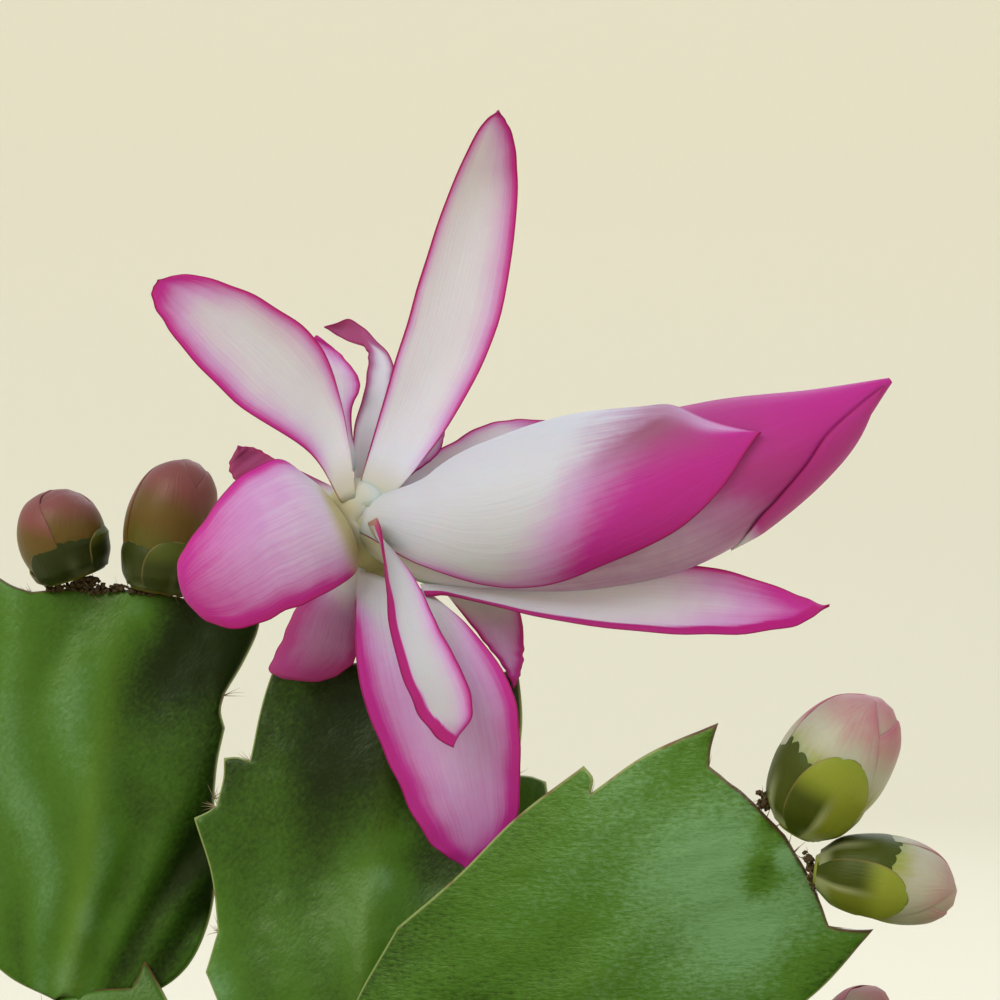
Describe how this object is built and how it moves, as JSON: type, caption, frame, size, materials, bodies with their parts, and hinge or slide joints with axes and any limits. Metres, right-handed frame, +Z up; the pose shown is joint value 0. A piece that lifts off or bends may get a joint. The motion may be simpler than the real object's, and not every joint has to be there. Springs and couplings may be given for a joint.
{
  "type": "potted christmas cactus",
  "caption": "Christmas cactus in a plain clay pot: arching chains of flat toothed stem segments, small buds and one open white and magenta bloom.",
  "frame": {"origin": "centre of the pot's flat underside", "axes": "+Z up along the pot's axis; +X to the right and +Y away from the viewer as the picture shows the bloom"},
  "size_m": [0.2717, 0.2709, 0.2739],
  "materials": {
    "clay": "matte",
    "soil": "matte",
    "segment": "satin",
    "tepal": "satin",
    "ovary": "satin",
    "bud": "satin"
  },
  "bodies": {
    "root": {"pot": "clay", "soil": "soil", "stem_bloom": "segment", "stem_left": "segment", "stem_right": "segment", "stem_mound_1": "segment", "stem_mound_2": "segment", "stem_mound_3": "segment", "stem_mound_4": "segment", "stem_mound_5": "segment", "stem_mound_6": "segment", "stem_mound_7": "segment", "stem_mound_8": "segment", "stem_mound_9": "segment", "stem_mound_10": "segment", "bloom": "tepal", "ovary": "ovary", "bud_front_upper": "bud", "bud_front_lower": "bud", "bud_left_outer": "bud", "bud_left_inner": "bud", "bud_right": "bud", "bud_mound_1": "bud", "bud_mound_2": "bud", "bud_mound_3": "bud", "bud_mound_4": "bud", "bud_mound_5": "bud"}
  },
  "joints": []
}
